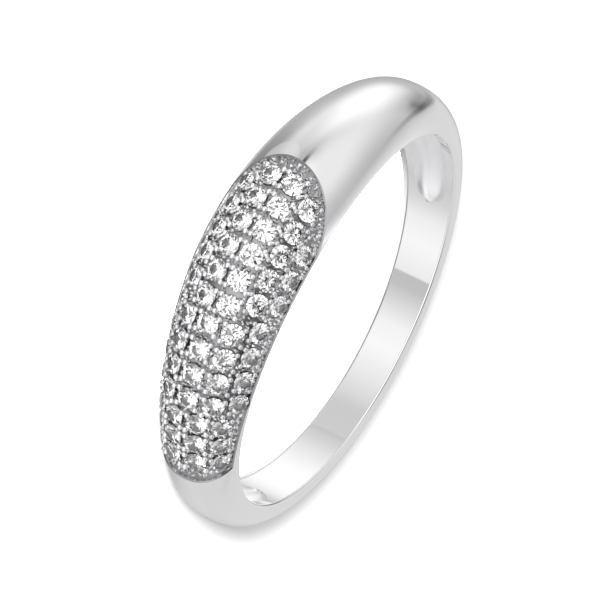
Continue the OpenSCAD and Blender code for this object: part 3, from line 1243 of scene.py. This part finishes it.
@dataclass
class Tent:
    """The soft white tent around the set, with darker gaps between its panels.

    Angles are in degrees, and pairs of them are where a soft border starts and where it is complete.
    """

    # the broad left panel's edge: its azimuth and how that bends with the height
    left_azimuth: float = 131.8
    left_bend: float = 0.0027
    left_lean: float = -0.038
    left_edge: tuple[float, float] = (8.5, -8.5)
    left_foot: tuple[float, float] = (-56.0, -20.0)
    # the half in front of the ring
    front_azimuth: float = -53.0
    front_edge: tuple[float, float] = (92.0, 76.0)
    front_lean: float = 0.3
    front_step: tuple[float, float] = (-10.0, 12.0)
    # the dark bars that only the stones show, up and down and across
    bar_turn: float = 27.0
    bar_edge: tuple[float, float] = (-0.86, -0.66)
    cross_turn: float = 30.0
    cross_edge: tuple[float, float] = (-0.90, -0.72)
    bar_light: float = 0.04
    bar_foot: tuple[float, float] = (4.0, 8.0)
    # the gap at the table's far edge
    table_height: float = 0.5
    table_edge: tuple[float, float] = (5.5, 1.5)
    # the white card: the way it faces, the edge of its light, its azimuth and its top
    card_facing: tuple[float, float, float] = (0.7719, -0.5466, -0.3247)
    card_cut: float = -0.118
    card_soft: float = 0.010
    card_azimuth: float = -158.0
    card_edge: tuple[float, float] = (46.0, 32.0)
    card_top: tuple[float, float] = (-6.0, -12.0)

    def back(self, b: TentBench) -> Socket:
        """Return the colour of the half behind the ring."""
        bend = b.times(b.high, self.left_lean)
        bend = b.maths("MULTIPLY_ADD", b.times(b.high, b.high), self.left_bend, bend)
        edge = b.maths("SUBTRACT", b.maths("SUBTRACT", b.turn, self.left_azimuth), bend)
        left = b.smooth(b.maths("WRAP", edge, 180.0, -180.0), *self.left_edge)
        left = b.times(left, b.smooth(b.high, *self.left_foot))
        tent = b.mix("MIX", left, b.grey(b.high, BACK_HEIGHT, 90), LEFT_PANEL)
        for panel in BACK_PANELS:
            beside = b.maths("ABSOLUTE", b.off(panel.azimuth, panel.lean, panel.height))
            wide, soft = panel.half_width, panel.soft_width
            tall, faint = panel.half_height, panel.soft_height
            shape = b.times(b.smooth(beside, wide + soft, wide - soft),
                            b.smooth(b.apart(b.high, panel.height), tall + faint, tall - faint))
            tent = b.mix("MIX", b.times(shape, panel.strength), tent, panel.brightness)
        return tent

    def front(self, b: TentBench) -> Socket:
        """Return the colour of the half in front, with the bars that make the stones sparkle."""
        low = b.grey(b.off(0.0, self.front_lean), FRONT_LOW, 180)
        front = b.mix("MIX", b.smooth(b.high, *self.front_step), low, b.grey(b.turn, FRONT_HIGH, 180))
        front = b.mix("MULTIPLY", 1.0, front, b.grey(b.high, FRONT_HEIGHT, 90))
        bars = b.smooth(b.maths("SINE", b.times(b.turn, math.radians(self.bar_turn))), *self.bar_edge)
        cross = b.smooth(b.maths("SINE", b.times(b.high, math.radians(self.cross_turn))), *self.cross_edge)
        bars = b.maths("MULTIPLY_ADD", b.times(bars, cross), 1 - self.bar_light, self.bar_light)
        through = b.nodes.new("ShaderNodeLightPath").outputs["Is Transmission Ray"]
        return b.mix("MULTIPLY", b.times(b.smooth(b.high, *self.bar_foot), through), front, bars)

    def card(self, b: TentBench) -> Socket:
        """Return where the white card is."""
        toward = b.nodes.new("ShaderNodeVectorMath")
        toward.operation = "DOT_PRODUCT"
        b.feed(toward.inputs[0], b.way)
        toward.inputs[1].default_value = self.card_facing
        cut, soft = self.card_cut, self.card_soft
        lit = b.smooth(toward.outputs["Value"], cut - soft, cut + soft)
        behind = b.smooth(b.maths("ABSOLUTE", b.off(self.card_azimuth)), *self.card_edge)
        return b.times(b.times(lit, behind), b.smooth(b.high, *self.card_top))

    def build(self) -> None:
        """Hang the tent as the scene's world."""
        b = TentBench()
        ahead = b.smooth(b.maths("ABSOLUTE", b.off(self.front_azimuth)), *self.front_edge)
        tent = b.mix("MIX", ahead, self.back(b), self.front(b))
        gap = b.smooth(b.apart(b.high, self.table_height), *self.table_edge)
        tent = b.mix("MULTIPLY", gap, tent, b.grey(b.turn, TABLE_GAP, 180))
        tent = b.mix("MIX", self.card(b), tent, b.grey(b.high, CARD_HEIGHT, 90))
        glow = b.nodes["Background"]
        b.feed(glow.inputs["Color"], tent)
        b.feed(glow.inputs["Strength"], 1.0)


@dataclass
class Studio:
    """A pale floor, soft light and the camera at the photograph's angle to the ring."""

    azimuth: float = 12.53
    elevation: float = 22.13
    roll: float = 115.73
    pixels_per_mm: float = 23.72
    distance: float = 819.0
    aside: float = -0.742
    above: float = 0.254
    frame_px: float = 600.0
    sensor: float = 36.0
    floor_grey: float = 0.76
    # the soft key lamp: degrees from +X and above the floor, metres away, its side and its watts
    key_azimuth: float = -84.0
    key_elevation: float = 22.5
    key_distance: float = 0.45
    key_size: float = 0.11
    key_power: float = 7.2
    # the spot over the finger hole: metres up, its cone in degrees and its watts
    spot_height: float = 0.1
    spot_cone: float = 10.6
    spot_power: float = 3.0

    def camera(self) -> None:
        """Place the camera by the angles that the ring is seen at in its own axes."""
        a, e, r = (math.radians(v) for v in (self.azimuth, self.elevation, self.roll))
        back = Vector((math.sin(a) * math.cos(e), -math.cos(a) * math.cos(e), math.sin(e)))
        right = Vector((math.cos(a), math.sin(a), 0.0))
        up = back.cross(right)
        right, up = (math.cos(r) * right + math.sin(r) * up, -math.sin(r) * right + math.cos(r) * up)
        turn = Matrix((right, up, back)).transposed()
        rest = Resting()
        place = turn @ Vector((self.aside, self.above, self.distance))
        data = bpy.data.cameras.new("photo_view")
        data.sensor_width = self.sensor
        data.lens = self.pixels_per_mm * self.distance / self.frame_px * self.sensor
        data.clip_start = 0.05
        data.clip_end = 50.0
        camera = bpy.data.objects.new("photo_view", data)
        bpy.context.scene.collection.objects.link(camera)
        spot = rest.matrix() @ place
        camera.matrix_world = Matrix.Translation(spot) @ (rest.turn().to_3x3() @ turn).to_4x4()
        bpy.context.scene.camera = camera

    def floor(self) -> None:
        """Lay a plain pale floor of smooth board."""
        Bench.clear()
        bpy.ops.mesh.primitive_plane_add(size=4.0)
        board = bpy.context.object
        board.name = "floor"
        tone = (self.floor_grey, self.floor_grey, self.floor_grey, 1.0)
        b = NodeBench("pale_board", Roughness=0.9, Specular_IOR_Level=0.1, Base_Color=tone)
        board.data.materials.append(b.material)
        # the tent runs on below the table's edge in the shine, as in the photographer's set
        board.visible_glossy = False

    @staticmethod
    def lamp(name: str, kind: str, place: Vector, power: float, **settings: object) -> None:
        """Hang a lamp that faces the ring and only lights the floor: the ring's shine is the tent.

        Args:
            name: The lamp's name.
            kind: Blender's name for its kind.
            place: Where it hangs, in metres.
            power: Its power in watts.
            settings: Its other values.
        """
        data = bpy.data.lights.new(name, kind)
        data.energy = power
        for key, value in settings.items():
            setattr(data, key, value)
        lamp = bpy.data.objects.new(name, data)
        lamp.visible_glossy = False
        lamp.visible_transmission = False
        bpy.context.scene.collection.objects.link(lamp)
        lamp.matrix_world = Matrix.Translation(place) @ place.to_track_quat("Z", "Y").to_matrix().to_4x4()

    def light(self) -> None:
        """Hang the tent, the key lamp for the shadow, and the spot that keeps the hole's floor white."""
        Tent().build()
        a, e = math.radians(self.key_azimuth), math.radians(self.key_elevation)
        out = Vector((math.cos(a) * math.cos(e), math.sin(a) * math.cos(e), math.sin(e)))
        self.lamp("key_softbox", "AREA", out * self.key_distance, self.key_power, shape="SQUARE",
                  size=self.key_size)
        self.lamp("hole_spot", "SPOT", Vector((0.0, 0.0, self.spot_height)), self.spot_power,
                  spot_size=math.radians(self.spot_cone), spot_blend=0.1, shadow_soft_size=0.001)

    def build(self) -> None:
        """Set up the whole studio."""
        self.camera()
        self.floor()
        self.light()
        bpy.context.scene.view_settings.view_transform = "Standard"


def main() -> None:
    """Build every piece in order and report it."""
    logging.basicConfig(level=logging.INFO, format="%(name)s: %(message)s")
    Studio().build()
    band = RingBand(DomeForm(), FieldPlan())
    ring = band.build()
    band.dress(ring)
    LOG.info("band: %d faces", len(ring.data.polygons))
    for maker in (PaveStones(band), SettingGrains(band), GraverMarks(band)):
        piece = maker.build()
        maker.dress(piece)
        LOG.info("%s: %d faces", piece.name, len(piece.data.polygons))


if __name__ == "__main__":
    main()
